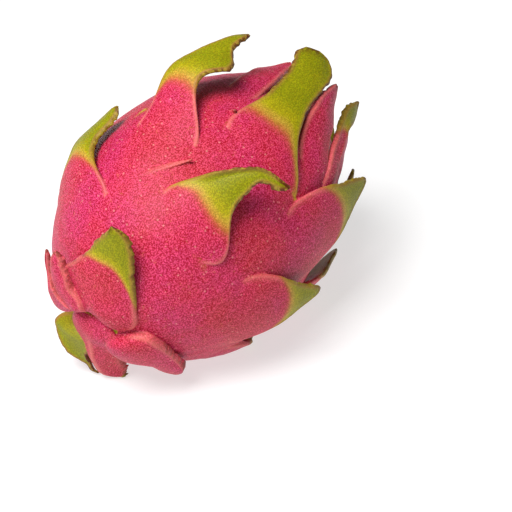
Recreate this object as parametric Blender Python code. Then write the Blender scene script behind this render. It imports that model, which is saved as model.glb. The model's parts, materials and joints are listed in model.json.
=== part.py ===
# Dragon fruit, lying on its side, grown as one piece: an egg-shaped body with its bracts (the fleshy scales).
# Units are metres and degrees. +X runs from the stem end to the flower end, +Z is up, the floor is z = 0.
import bpy
import numpy as np
from math import cos, radians, sin

# Body: half the length and half the width of the egg, without the bracts
HALF_LENGTH = 0.062
HALF_WIDTH = 0.046
# How much slimmer the flower end is than the stem end, as a share
EGG = 0.06
# The flower end lies this much higher than the stem end
TILT = radians(9.5)
# Height of the body's middle over the floor. It is less than the egg reaches down, which leaves the flat spot
REST_HEIGHT = 0.0455
# The body's middle, seen from above, from the middle of the whole fruit's footprint
MIDDLE_X = -0.0061827
MIDDLE_Y = 0.0000213
# Sunken scar of the flower, with the dry button in it, and the shallow dimple of the stem
NAVEL_RADIUS = 0.0125
NAVEL_DEPTH = 0.0065
BUTTON_RADIUS = 0.0055
BUTTON_HEIGHT = 0.0035
DIMPLE_RADIUS = 0.0090
DIMPLE_DEPTH = 0.0025
# Low waves round the body: how many to a turn, where they start, how high as a share
WAVES = ((3, 0.7, 0.012), (5, 2.0, 0.008))
# Bract blades: thickness at the root, least half thickness, and how far a blade stands proud of the skin
BLADE_THICKNESS = 0.0028
THINNEST_HALF = 0.00035
ROOT_SINK = 0.0030
ROOT_COVER = 0.0004
ROOT_ROUNDING = 0.2
KEEL_ROUNDING = 0.0012
PROUD = 0.0012
# A blade near the floor is pressed flat: from this height down, to this gap
PRESS_HEIGHT = 0.0045
FLOOR_GAP = 0.0003
# Faces of the solids
BODY_RINGS = 32
BODY_SIDES = 48
BRACT_RINGS = 11
BRACT_SIDES = 10

PINK = (0.75, 0.055, 0.16, 1.0)

BASIS = np.array([
    [cos(TILT), 0.0, sin(TILT)],
    [0.0, 1.0, 0.0],
    [-sin(TILT), 0.0, cos(TILT)],
])
MIDDLE = np.array([MIDDLE_X, MIDDLE_Y, REST_HEIGHT])


# The bracts


def bract(x, turn, reach, width, root, **shape):
    """One bract: where its blade leaves the skin, as a distance along the body's axis from the middle and
    degrees round from the top (toward -Y), and its tip from there (to the flower end, round, outward)."""
    row = dict(x=x, turn=turn, reach=reach, width=width, root=root)
    # left and right: how far each edge is from the middle line at even steps from root to tip, in half widths
    row.update(left=(0.9, 1.0, 0.84, 0.54, 0.38, 0.32), right=(0.9, 1.0, 0.84, 0.54, 0.38, 0.32))
    # lean: how far the root is turned from the way to the tip; rounding, blunt: where and how the tip closes
    row.update(lean=0.0, rounding=0.5, blunt=0.6, thickness=BLADE_THICKNESS)
    # cup: how far the edges bend in; keel: slope of both halves from a ridge in the middle; curl: turn of the
    # tip outward; spring: how soon the blade leaves the skin; sway: how far it bows toward more turn; roll:
    # how far the left and the right edge are lifted
    row.update(cup=0.25, keel=0.0, curl=0.0, spring=0.0, sway=0.0, roll=(0.0, 0.0))
    # sunk: 1 where the root dips into the flesh, 0 where it lies on top; swell: height of the mound under it
    row.update(sunk=1.0, swell=0.0022)
    row.update(shape)
    return row


def shown_bracts():
    """The bracts on the side that the photograph shows, from the stem end to the flower end."""
    return [
        bract(-0.0597, 33.2, (0.0285, -0.0155, 0.0010), 0.029, 0.013,
              left=(0.25, 1.04, 0.79, 0.48, 0.35, 0.08), right=(1.57, 1.14, 0.92, 0.76, 0.76, 0.86),
              lean=37, sway=-0.0021, thickness=0.0036, sunk=0),
        bract(-0.0614, -15.7, (0.0216, -0.0061, 0.0010), 0.012, 0.004,
              left=(0.61, 0.88, 1.13, 1.01, 0.75, 0.58), right=(0.13, 0.55, 0.42, 0.62, 0.71, 1.07),
              lean=15, sway=-0.0061, thickness=0.005, sunk=0),
        bract(-0.0612, -47.9, (0.0220, 0.0032, 0.0), 0.013, 0.004,
              left=(0.91, 1.29, 0.94, 0.23, 0.02, 0.02), right=(0.10, 0.06, 0.05, 0.22, 0.35, 0.71),
              lean=49, sway=-0.0113, thickness=0.0045, sunk=0.3),
        bract(-0.0617, -168.9, (0.0344, -0.0010, 0.0015), 0.027, 0.010,
              left=(0.93, 0.67, 0.40, 0.05, 0.05, 0.08), right=(0.72, 1.09, 1.12, 0.77, 0.21, 0.59),
              lean=-118, sway=0.0067, rounding=0.35, blunt=0.7, cup=-0.25),
        bract(-0.0603, 171.4, (0.0328, 0.0047, 0.0045), 0.015, 0.014,
              left=(2.56, 1.44, 1.16, 1.14, 1.12, 0.84), right=(1.41, 1.30, 0.80, 0.40, 0.41, 0.43),
              lean=-19, sway=0.0096, rounding=0.4, keel=0.5, thickness=0.0036, spring=0.003, sunk=0),
        bract(-0.0589, 125.0, (0.0240, 0.0046, -0.0041), 0.022, 0.006,
              left=(1.03, 1.09, 1.04, 0.89, 0.80, 0.69), right=(1.00, 0.84, 0.76, 0.35, 1.15, 2.48),
              lean=11, sway=0.0045, thickness=0.0065, cup=0.1, sunk=0),
        bract(-0.0327, -40.0, (0.0276, 0.0133, -0.0010), 0.030, 0.018,
              left=(1.64, 1.21, 0.52, 0.78, 0.40, 0.25), right=(1.95, 1.33, 0.70, 0.41, 0.42, 0.56),
              lean=-16, sway=-0.0072, spring=0.006, swell=0.0005),
        bract(-0.0285, 37.9, (0.0289, 0.0147, 0.0050), 0.038, 0.016,
              left=(0.63, 0.48, 0.30, 0.17, 0.16, 0.02), right=(0.98, 1.22, 0.56, 0.33, 0.14, 0.32),
              lean=9, sway=-0.0149, rounding=0.6, curl=-20, roll=(0.0018, 0.0)),
        bract(-0.0015, -11.8, (0.0436, 0.0101, 0.0020), 0.040, 0.026,
              left=(0.40, 0.31, 0.44, 0.19, 0.13, 0.46), right=(1.54, 0.93, 0.41, 0.68, 0.29, 0.26),
              lean=-21, sway=-0.0030, rounding=0.66, blunt=0.8, curl=-22, spring=0.0085, swell=0.0015),
        bract(0.0143, 34.5, (0.0446, -0.0124, 0.0010), 0.042, 0.022,
              left=(0.92, 0.81, 0.58, 0.48, 0.37, 0.46), right=(1.90, 0.59, 0.22, 0.23, 0.43, 0.77),
              lean=2, sway=0.0088, rounding=0.74, blunt=0.5, cup=0.15),
        bract(0.0333, 6.2, (0.0302, -0.0020, 0.0), 0.026, 0.020, left=(0.73, 0.62, 0.57, 0.55, 0.36, 0.29),
              right=(0.28, 0.32, 0.33, 0.27, 0.27, 0.47), lean=-13, sway=0.0015, cup=0.3, swell=0),
        bract(0.0312, 62.6, (0.0275, -0.0134, 0.0034), 0.030, 0.024,
              left=(0.06, 0.40, 0.49, 0.37, 0.24, 0.16), right=(1.18, 0.67, 0.52, 0.51, 0.51, 0.67),
              lean=28, sway=-0.0078, cup=0.3),
        bract(0.0303, 74.1, (0.0418, -0.0037, 0.0010), 0.017, 0.020,
              left=(0.02, 0.46, 0.60, 0.53, 0.59, 0.28), right=(0.84, 0.41, 0.10, 0.09, 0.53, 0.65),
              lean=5, sway=-0.0032, cup=0.3),
    ]


# Rings of bracts on the hidden sides: place along the axis, turns, reach, width, root, spread of the sizes
HIDDEN_RINGS = (
    (-0.0250, (102, 158, -156, -100), (0.0260, 0.0010, 0.0010), 0.034, 0.022, 0.10),
    (0.0080, (88, 134, 180, -134, -95), (0.0340, 0.0010, 0.0010), 0.034, 0.024, 0.12),
    (0.0330, (112, 156, -156, -118, -83), (0.0300, 0.0010, 0.0015), 0.028, 0.020, 0.14),
    (0.0490, (104, 152, -160, -120, -80), (0.0270, 0.0010, 0.0090), 0.019, 0.012, 0.10),
    (0.0540, (28, -18), (0.0140, 0.0000, 0.0030), 0.014, 0.008, 0.10),
)
HIDDEN_SEED = 7


def hidden_bracts():
    """The other bracts, in rings that carry on the rhythm of the shown ones, each a little different."""
    draw = np.random.default_rng(HIDDEN_SEED)
    rows = []
    for x, turns, reach, width, root, spread in HIDDEN_RINGS:
        for turn in turns:
            size = 1.0 + spread * draw.uniform(-1.0, 1.0)
            bend = draw.uniform(-0.004, 0.004)
            along, around, lift = (size * d for d in reach)
            rows.append(bract(
                x + draw.uniform(-0.003, 0.003), turn + draw.uniform(-4.0, 4.0), (along, around + bend, lift),
                size * width, root, cup=draw.uniform(0.1, 0.3), sway=draw.uniform(-0.002, 0.002),
                spring=draw.uniform(0.0, 0.0015), swell=0.0018,
            ))
    return rows


# Shape of the skin


def unit(v):
    return v / np.linalg.norm(v, axis=-1, keepdims=True)


def ease(x):
    x = np.clip(x, 0.0, 1.0)
    return x * x * (3.0 - 2.0 * x)


def egg_point(x, turn):
    """The point of the plain egg at a distance x along the axis, turn degrees round from the top."""
    r = HALF_WIDTH * np.sqrt(1.0 - (x / HALF_LENGTH) ** 2)
    return np.array([x, -r * sin(radians(turn)), r * cos(radians(turn))])


def axes_at(p):
    """At a point of the egg: the way out, the way to the flower end along the skin, and the way round."""
    out = unit(p / np.array([HALF_LENGTH, HALF_WIDTH, HALF_WIDTH]) ** 2)
    along = unit(np.array([1.0, 0.0, 0.0]) - out * out[0])
    return out, along, np.cross(along, out)


def heading(row):
    """Where a bract leaves the egg, its way along the skin, and the way out there."""
    p = egg_point(row["x"], row["turn"])
    out, along, around = axes_at(p)
    return p, unit(along * row["reach"][0] + around * row["reach"][1]), out


def swellings(rows):
    """The low mound under each bract's root: its middle, its radius and its height."""
    mounds = []
    for row in rows:
        p, way, _ = heading(row)
        mounds.append((p - way * 0.35 * row["root"], 0.42 * row["width"], row["swell"]))
    return mounds


def skin_distance(d, mounds):
    """How far the skin is from the middle, along unit directions d in the body's own axes."""
    x = d[..., 0]
    r = np.sqrt(np.clip(1.0 - x * x, 0.0, 1.0))
    turn = np.arctan2(-d[..., 1], d[..., 2])
    far = 1.0 / np.sqrt((x / HALF_LENGTH) ** 2 + (r / HALF_WIDTH) ** 2)
    egg = d * far[..., None]
    far = far * (1.0 - EGG * x * (1.0 - x * x))
    for count, start, share in WAVES:
        far = far * (1.0 + share * r * r * np.sin(count * turn + start))
    mound = np.zeros(x.shape)
    for middle, radius, height in mounds:
        away = ((egg - middle) ** 2).sum(-1)
        mound = np.maximum(mound, height * np.exp(-away / radius ** 2))
    off = far * r
    navel = BUTTON_HEIGHT * (1.0 - ease(off / BUTTON_RADIUS)) - NAVEL_DEPTH * (1.0 - ease(off / NAVEL_RADIUS))
    dimple = -DIMPLE_DEPTH * (1.0 - ease(off / DIMPLE_RADIUS))
    far = far + mound + np.where(x > 0.0, navel, dimple)
    down = -(d @ BASIS)[..., 2]
    floor = np.where(down > 0.2, REST_HEIGHT / np.maximum(down, 0.2), 1.0)
    return np.minimum(far, floor)


def on_skin(points, height, mounds):
    """Points moved along their rays from the middle, to this height over the skin."""
    d = unit(points)
    return d * (skin_distance(d, mounds) + height)[..., None]


def body_rings(rings, sides, mounds):
    """Rings of skin points from the flower end to the stem end. The first and last are one point each."""
    polar = np.linspace(0.0, np.pi, rings + 1)[:, None]
    turn = np.arange(sides)[None, :] * 2.0 * np.pi / sides
    d = np.stack([
        np.cos(polar) * np.ones_like(turn), -np.sin(polar) * np.sin(turn), np.sin(polar) * np.cos(turn),
    ], axis=-1)
    return d * skin_distance(d, mounds)[..., None]


# Shape of a bract


def blade_line(row, u, mounds):
    """The blade's middle line, a Bezier curve from the root over the place where it leaves the skin to the
    tip, with the ways across the blade and out of it."""
    p, way, out = heading(row)
    p = on_skin(p, PROUD, mounds)
    around = np.cross(axes_at(egg_point(row["x"], row["turn"]))[1], out)
    along = np.cross(out, around)
    sideways = np.cross(way, out)
    free = np.hypot(row["reach"][0], row["reach"][1])
    tip = p + along * row["reach"][0] + around * row["reach"][1] + out * row["reach"][2]
    lean = radians(row["lean"])
    start = p - (way * cos(lean) + sideways * sin(lean)) * row["root"]
    curl = radians(row["curl"])
    near = p + way * 0.35 * free + out * row["spring"] + sideways * 0.5 * row["sway"]
    far = tip - (way * cos(curl) + out * sin(curl)) * 0.4 * free + sideways * row["sway"]
    t = u[:, None]
    line = (1 - t) ** 3 * start + 3 * t * (1 - t) ** 2 * near + 3 * t * t * (1 - t) * far + t ** 3 * tip
    ahead = unit(np.gradient(line, axis=0))
    across = unit(sideways - ahead * (ahead @ sideways)[:, None])
    outward = np.cross(across, ahead)
    return line, across, outward, row["root"] / (row["root"] + free)


def through(values, u):
    """A smooth curve through values at even steps of u: each piece a cubic that leaves a value with half the
    difference of its two neighbours as slope."""
    values = np.concatenate([[2 * values[0] - values[1]], values, [2 * values[-1] - values[-2]]])
    t = np.clip(u, 0.0, 1.0) * (len(values) - 3)
    i = np.minimum(t.astype(int), len(values) - 4)
    f = t - i
    a, b, c, d = (values[i + k] for k in range(4))
    return b + 0.5 * f * (c - a + f * (2 * a - 5 * b + 4 * c - d + f * (3 * (b - c) + d - a)))


def half_widths(row, u):
    """How far the left and the right edge are from the middle line: rounded at the root, then as the row
    says, rounded off at the tip."""
    root = np.sqrt(1.0 - np.clip(1.0 - u / ROOT_ROUNDING, 0.0, 1.0) ** 2)
    end = np.clip((u - row["rounding"]) / (1.0 - row["rounding"]), 0.0, 1.0)
    shape = root * (1.0 - end ** 2) ** row["blunt"] * 0.5 * row["width"]
    return [np.maximum(shape * through(row[key], u), THINNEST_HALF) for key in ("left", "right")]


def bract_rings(row, rings, sides, mounds):
    """Rings of points round the blade, from the root to the tip. The root lies on the skin and the rest
    follows the blade's own line."""
    step = np.linspace(0.0, 1.0, rings)
    u = step * (1.35 - 0.35 * step)
    line, across, outward, leaves = blade_line(row, u, mounds)
    leaves = 0.9 * leaves
    left, right = half_widths(row, u)
    section = np.arange(sides) * 2.0 * np.pi / sides
    v = np.cos(section)[None, :]
    half = np.where(v < 0.0, left[:, None], right[:, None])
    mean = 0.5 * (left + right)
    side = np.sign(np.sin(section)) * np.abs(np.sin(section)) ** 0.75
    thin = np.clip(mean / 0.003, 0.15, 1.0)
    free = ease((u - leaves + 0.2) / 0.35)
    over = row["thickness"] * (0.55 - 0.25 * ease((u - leaves) / (1.0 - leaves))) * thin
    over = np.maximum(over, THINNEST_HALF)
    under = over + ROOT_SINK * (1.0 - ease((u - leaves + 0.12) / 0.12))
    thick = np.where(side[None, :] >= 0.0, over[:, None], under[:, None]) * side[None, :]
    y = half * v
    bend = (1.0 - ease((u - 0.3) / 0.5)) / (2.0 * HALF_WIDTH)
    bend = bend + ease((u - 0.35) / 0.5) * row["cup"] / np.maximum(mean, 0.002)
    roof = row["keel"] * ease(u / 0.4)
    drop = bend[:, None] * y * y + roof[:, None] * (np.hypot(y, KEEL_ROUNDING) - KEEL_ROUNDING)
    roll = np.where(v < 0.0, row["roll"][0], row["roll"][1]) * ease((np.abs(v) - 0.45) / 0.55)
    drop = drop - roll * ease((u - leaves) / 0.15)[:, None]
    sheet = line[:, None] + across[:, None] * y[..., None] - outward[:, None] * drop[..., None]
    loose = sheet + outward[:, None] * thick[..., None]
    low = -row["sunk"] * (over + ROOT_COVER)
    rise = low + (PROUD - low) * ease(u / leaves)
    pressed = on_skin(sheet, rise[:, None] + thick, mounds)
    points = pressed * (1.0 - free)[:, None, None] + loose * free[:, None, None]
    return over_floor(points @ BASIS + MIDDLE)


def over_floor(points):
    """Points near the floor are pressed together over it, and none goes through it."""
    z = points[..., 2]
    span = PRESS_HEIGHT - FLOOR_GAP
    low = FLOOR_GAP + span * np.exp(np.minimum(z - PRESS_HEIGHT, 0.0) / span)
    points[..., 2] = np.where(z < PRESS_HEIGHT, low, z)
    return points


# Solids


def closed_mesh(name, rings, pointed):
    """A mesh from rings of points, closed by a point or a flat cap at each end."""
    count, sides, _ = rings.shape
    lower = np.arange(count - 1)[:, None] * sides + np.arange(sides)[None, :]
    ahead = np.arange(count - 1)[:, None] * sides + (np.arange(sides)[None, :] + 1) % sides
    quads = np.stack([lower, lower + sides, ahead + sides, ahead], axis=-1).reshape(-1, 4)
    points = rings.reshape(-1, 3)
    faces = quads.tolist()
    last = (count - 1) * sides
    if pointed:
        points = np.concatenate([points[sides:last], rings[:1, 0], rings[-1:, 0]])
        first_end = last - sides
        inner = quads[sides:-sides] - sides
        faces = inner.tolist()
        for i in range(sides):
            j = (i + 1) % sides
            faces.append([first_end, i, j])
            faces.append([first_end + 1, last - 2 * sides + j, last - 2 * sides + i])
    else:
        faces.append(list(range(sides)))
        faces.append(list(range(count * sides - 1, last - 1, -1)))
    mesh = bpy.data.meshes.new(name)
    mesh.from_pydata(points.tolist(), [], faces)
    mesh.update()
    return mesh


def face_outward(obj):
    """Turns the mesh inside out if its volume comes out negative."""
    mesh = obj.data
    mesh.calc_loop_triangles()
    corners = np.array([[mesh.vertices[i].co[:] for i in tri.vertices] for tri in mesh.loop_triangles])
    if np.linalg.det(corners).sum() < 0.0:
        mesh.flip_normals()


def add_object(name, mesh, collection):
    obj = bpy.data.objects.new(name, mesh)
    collection.objects.link(obj)
    face_outward(obj)
    return obj


def skin_material():
    """Waxy pink skin."""
    material = bpy.data.materials.new("skin")
    material.use_nodes = True
    shader = material.node_tree.nodes["Principled BSDF"]
    shader.inputs["Base Color"].default_value = PINK
    shader.inputs["Roughness"].default_value = 0.5
    shader.inputs["Metallic"].default_value = 0.0
    material.diffuse_color = PINK
    return material


def clear_scene():
    for obj in list(bpy.data.objects):
        bpy.data.objects.remove(obj, do_unlink=True)


def build_fruit():
    """Body and blades, joined by one Boolean union."""
    scene = bpy.context.scene.collection
    rows = shown_bracts() + hidden_bracts()
    mounds = swellings(rows)
    body_points = body_rings(BODY_RINGS, BODY_SIDES, mounds) @ BASIS + MIDDLE
    fruit = add_object("dragon_fruit", closed_mesh("dragon_fruit", body_points, True), scene)
    blades = bpy.data.collections.new("bract_blades")
    scene.children.link(blades)
    for number, row in enumerate(rows):
        rings = bract_rings(row, BRACT_RINGS, BRACT_SIDES, mounds)
        add_object(f"bract_{number}", closed_mesh(f"bract_{number}", rings, False), blades)
    union = fruit.modifiers.new("grown_together", "BOOLEAN")
    union.operation = "UNION"
    union.operand_type = "COLLECTION"
    union.collection = blades
    bpy.context.view_layer.update()
    joined = bpy.data.meshes.new_from_object(fruit.evaluated_get(bpy.context.evaluated_depsgraph_get()))
    fruit.modifiers.clear()
    fruit.data = joined
    for blade in list(blades.objects):
        bpy.data.objects.remove(blade, do_unlink=True)
    bpy.data.collections.remove(blades)
    fruit.data.materials.clear()
    fruit.data.materials.append(skin_material())
    fruit.data.shade_smooth()
    fruit.data.set_sharp_from_angle(angle=radians(45.0))
    return fruit


clear_scene()
build_fruit()
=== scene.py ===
# %% [markdown]
# # A dragon fruit
# A dragon fruit is the berry of a climbing cactus: an egg of flesh in a thick pink skin, with fleshy
# scales, called bracts, that grow out of that skin and peel away toward the flower end. Their tips stay
# green. The lesson builds it as one closed surface. The skin and each bract are worked out with numpy
# from a formula, a Boolean union grows them together, and numbers stored on the vertices tell one
# material where the skin is pink, where it turns green and where it has dried. It starts with the
# measured solid, which gives the size.

# %% Load the measured solid
import json
import bpy
import numpy as np
from math import cos, radians, sin
from mathutils import Matrix, Vector

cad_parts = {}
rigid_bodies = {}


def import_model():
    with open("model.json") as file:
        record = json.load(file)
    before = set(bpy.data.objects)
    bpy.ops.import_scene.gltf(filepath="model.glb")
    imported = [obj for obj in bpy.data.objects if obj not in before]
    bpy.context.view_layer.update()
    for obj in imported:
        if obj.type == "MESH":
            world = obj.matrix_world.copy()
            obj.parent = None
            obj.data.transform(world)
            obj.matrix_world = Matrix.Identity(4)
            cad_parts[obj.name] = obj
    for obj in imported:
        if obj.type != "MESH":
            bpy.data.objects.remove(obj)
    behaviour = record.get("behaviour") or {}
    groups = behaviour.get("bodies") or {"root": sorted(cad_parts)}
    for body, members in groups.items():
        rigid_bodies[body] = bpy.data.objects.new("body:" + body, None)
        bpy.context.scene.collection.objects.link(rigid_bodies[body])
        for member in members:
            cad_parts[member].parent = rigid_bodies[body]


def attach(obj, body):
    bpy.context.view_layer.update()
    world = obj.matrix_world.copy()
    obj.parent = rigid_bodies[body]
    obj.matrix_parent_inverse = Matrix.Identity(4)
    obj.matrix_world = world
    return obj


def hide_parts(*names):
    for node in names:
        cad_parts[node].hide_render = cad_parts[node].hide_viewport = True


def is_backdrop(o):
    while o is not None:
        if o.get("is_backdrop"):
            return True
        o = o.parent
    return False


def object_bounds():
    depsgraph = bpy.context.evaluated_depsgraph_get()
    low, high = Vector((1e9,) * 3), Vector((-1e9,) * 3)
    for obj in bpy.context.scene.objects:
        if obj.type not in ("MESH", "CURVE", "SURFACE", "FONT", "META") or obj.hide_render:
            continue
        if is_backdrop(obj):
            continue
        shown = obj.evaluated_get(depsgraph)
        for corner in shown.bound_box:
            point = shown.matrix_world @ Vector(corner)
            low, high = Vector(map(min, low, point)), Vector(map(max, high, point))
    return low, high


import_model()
solid_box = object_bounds()
solid_size = np.array(solid_box[1]) - np.array(solid_box[0])
print("solid, mm:", (solid_size * 1000).round(1))

# %% [markdown]
# ## The place of the fruit
# The fruit lies on its side, the flower end a little higher than the stem end. It is easiest to work out
# in its own axes, with x from the stem end to the flower end, and to turn the finished points into the
# room's axes last. The body is an egg, so half its length and half its width come first.

# %% The fruit's own axes
HALF_LENGTH = 0.062
HALF_WIDTH = 0.046
TILT = radians(9.5)
REST_HEIGHT = 0.0455
MIDDLE = np.array([-0.0061827, 0.0000213, REST_HEIGHT])
BASIS = np.array([[cos(TILT), 0.0, sin(TILT)], [0.0, 1.0, 0.0], [-sin(TILT), 0.0, cos(TILT)]])


def unit(v):
    """Vectors shortened or stretched to length one."""
    return v / np.linalg.norm(v, axis=-1, keepdims=True)


def ease(x):
    """Smooth step: 0 below 0, 1 above 1, and 3x^2 - 2x^3 between."""
    x = np.clip(x, 0.0, 1.0)
    return x * x * (3.0 - 2.0 * x)


def egg_point(x, turn):
    """Point of the plain egg x along the axis and turn degrees round from the top, toward -Y."""
    r = HALF_WIDTH * np.sqrt(1.0 - (x / HALF_LENGTH) ** 2)
    return np.array([x, -r * sin(radians(turn)), r * cos(radians(turn))])


def axes_at(p):
    """Out of the egg at p (its equation's gradient), along the skin to the flower end, and round."""
    out = unit(p / np.array([HALF_LENGTH, HALF_WIDTH, HALF_WIDTH]) ** 2)
    along = unit(np.array([1.0, 0.0, 0.0]) - out * out[0])
    return out, along, np.cross(along, out)


print("egg, mm:", 2000 * HALF_LENGTH, "by", 2000 * HALF_WIDTH)

# %% [markdown]
# ## The table of bracts
# On the real fruit the bracts sit in a spiral, broad and short at the stem, long and strap-like at the
# flower end, and no two are alike. Modelling each by hand would hide that they are one form. Here a row
# of numbers describes each one: where it leaves the skin, where its tip is from there, how wide it is,
# and how its outline draws in. The ones that face the camera are measured one by one.

# %% One row for each bract


def bract(x, turn, reach, width, root, **shape):
    """A bract that leaves the skin at x and turn. Its tip is reach (forward, round, outward) from there."""
    row = dict(x=x, turn=turn, reach=reach, width=width, root=root)
    # outline: both edges' distance from the middle line at even steps from root to tip, in half widths
    row.update(left=(0.9, 1.0, 0.84, 0.54, 0.38, 0.32), right=(0.9, 1.0, 0.84, 0.54, 0.38, 0.32))
    # lean: how far the root is turned from the way to the tip; rounding, blunt: where and how the tip closes
    row.update(lean=0.0, rounding=0.5, blunt=0.6, thickness=0.0028)
    # section and line: bend of the edges, roof-like keel, curl of the tip, early lift, sideways bow, rolled
    # edges, how far the root sinks under its beads, and the height of the mound that it makes
    row.update(cup=0.25, keel=0.0, curl=0.0, spring=0.0, sway=0.0, roll=(0.0, 0.0), sunk=1.0, swell=0.0022)
    # colour: where green begins along the blade, how long it takes to turn, how much sooner at both edges,
    # how tan the rim is, how strong the painted highlight along the middle line is, and how dry the edge and
    # the tip; last, the bead's height
    row.update(green_at=0.42, green_span=0.16, green_edge=(0.1, 0.1))
    row.update(rim=0.7, spine=0.0, dry=0.4, bead=0.0008)
    row.update(shape)
    return row


SHOWN = [
    bract(-0.0597, 33.2, (0.0285, -0.0155, 0.0010), 0.029, 0.013, left=(0.25, 1.04, 0.79, 0.48, 0.35, 0.08),
          right=(1.57, 1.14, 0.92, 0.76, 0.76, 0.86), lean=37, sway=-0.0021, thickness=0.0036, sunk=0,
          green_at=0.50, green_span=0.12, green_edge=(0.02, 0.32), dry=0.6),
    bract(-0.0614, -15.7, (0.0216, -0.0061, 0.0010), 0.012, 0.004, left=(0.61, 0.88, 1.13, 1.01, 0.75, 0.58),
          right=(0.13, 0.55, 0.42, 0.62, 0.71, 1.07), lean=15, sway=-0.0061, thickness=0.005, sunk=0,
          green_at=1.5),
    bract(-0.0612, -47.9, (0.0220, 0.0032, 0.0), 0.013, 0.004, left=(0.91, 1.29, 0.94, 0.23, 0.02, 0.02),
          right=(0.10, 0.06, 0.05, 0.22, 0.35, 0.71), lean=49, sway=-0.0113, thickness=0.0045, sunk=0.3,
          green_at=1.5),
    bract(-0.0617, -168.9, (0.0344, -0.0010, 0.0015), 0.027, 0.010, left=(0.93, 0.67, 0.40, 0.05, 0.05, 0.08),
          right=(0.72, 1.09, 1.12, 0.77, 0.21, 0.59), lean=-118, sway=0.0067, rounding=0.35, blunt=0.7,
          cup=-0.25, green_at=-0.2, green_span=0.3, rim=1, dry=1.6),
    bract(-0.0603, 171.4, (0.0328, 0.0047, 0.0045), 0.015, 0.014,
          left=(2.56, 1.44, 1.16, 1.14, 1.12, 0.84), right=(1.41, 1.30, 0.80, 0.40, 0.41, 0.43),
          lean=-19, sway=0.0096, rounding=0.4, keel=0.5, thickness=0.0036, spring=0.003, sunk=0,
          green_at=0.88, green_span=0.05, rim=0.3, spine=0.9, dry=0.6, bead=0.0009),
    bract(-0.0589, 125.0, (0.0240, 0.0046, -0.0041), 0.022, 0.006, left=(1.03, 1.09, 1.04, 0.89, 0.80, 0.69),
          right=(1.00, 0.84, 0.76, 0.35, 1.15, 2.48), lean=11, sway=0.0045, thickness=0.0065, cup=0.1, sunk=0,
          green_at=1.5),
    bract(-0.0327, -40.0, (0.0276, 0.0133, -0.0010), 0.030, 0.018, left=(1.64, 1.21, 0.52, 0.78, 0.40, 0.25),
          right=(1.95, 1.33, 0.70, 0.41, 0.42, 0.56), lean=-16, sway=-0.0072, spring=0.006, swell=0.0005,
          green_at=0.28, green_span=0.16, green_edge=(0.2, 0.1), dry=0.5),
    bract(-0.0285, 37.9, (0.0289, 0.0147, 0.0050), 0.038, 0.016, left=(0.63, 0.48, 0.30, 0.17, 0.16, 0.02),
          right=(0.98, 1.22, 0.56, 0.33, 0.14, 0.32), lean=9, sway=-0.0149, rounding=0.6, curl=-20,
          roll=(0.0018, 0.0), green_at=0.17, green_span=0.15, green_edge=(0.12, -0.05), dry=0.9),
    bract(-0.0015, -11.8, (0.0436, 0.0101, 0.0020), 0.040, 0.026, left=(0.40, 0.31, 0.44, 0.19, 0.13, 0.46),
          right=(1.54, 0.93, 0.41, 0.68, 0.29, 0.26), lean=-21, sway=-0.0030, rounding=0.66, blunt=0.8,
          curl=-22, spring=0.0085, swell=0.0015, rim=0.9, green_at=0.27, green_span=0.15,
          green_edge=(0.12, 0.02), dry=0.9),
    bract(0.0143, 34.5, (0.0446, -0.0124, 0.0010), 0.042, 0.022, left=(0.92, 0.81, 0.58, 0.48, 0.37, 0.46),
          right=(1.90, 0.59, 0.22, 0.23, 0.43, 0.77), lean=2, sway=0.0088, rounding=0.74, blunt=0.5, cup=0.15,
          green_at=0.13, green_span=0.18, green_edge=(-0.02, 0.17), dry=0.9),
    bract(0.0333, 6.2, (0.0302, -0.0020, 0.0), 0.026, 0.020, left=(0.73, 0.62, 0.57, 0.55, 0.36, 0.29),
          right=(0.28, 0.32, 0.33, 0.27, 0.27, 0.47), lean=-13, sway=0.0015, cup=0.3, swell=0, green_at=1.5),
    bract(0.0312, 62.6, (0.0275, -0.0134, 0.0034), 0.030, 0.024, left=(0.06, 0.40, 0.49, 0.37, 0.24, 0.16),
          right=(1.18, 0.67, 0.52, 0.51, 0.51, 0.67), lean=28, sway=-0.0078, cup=0.3, green_at=1.2),
    bract(0.0303, 74.1, (0.0418, -0.0037, 0.0010), 0.017, 0.020, left=(0.02, 0.46, 0.60, 0.53, 0.59, 0.28),
          right=(0.84, 0.41, 0.10, 0.09, 0.53, 0.65), lean=5, sway=-0.0032, cup=0.3, green_at=0.45),
]
tallest = SHOWN[8]
print("bracts measured one by one:", len(SHOWN), " tallest, width in mm:", 1000 * tallest["width"])

# %% [markdown]
# ## The sides out of view
# The rest of the fruit carries on the same rhythm. Rings of bracts follow one another from the stem end
# to the flower end, each bract a little different, from one seeded draw. Three tiny dried flakes at the
# feet of ridges have the same form, only smaller.

# %% Rings and flakes
# Rings of bracts on the other sides: x, turns, reach, width, root, spread of the sizes
HIDDEN_RINGS = (
    (-0.0250, (102, 158, -156, -100), (0.0260, 0.0010, 0.0010), 0.034, 0.022, 0.10),
    (0.0080, (88, 134, 180, -134, -95), (0.0340, 0.0010, 0.0010), 0.034, 0.024, 0.12),
    (0.0330, (112, 156, -156, -118, -83), (0.0300, 0.0010, 0.0015), 0.028, 0.020, 0.14),
    (0.0490, (104, 152, -160, -120, -80), (0.0270, 0.0010, 0.0090), 0.019, 0.012, 0.10),
    (0.0540, (28, -18), (0.0140, 0.0000, 0.0030), 0.014, 0.008, 0.10),
)
HIDDEN_SEED = 7


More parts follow.
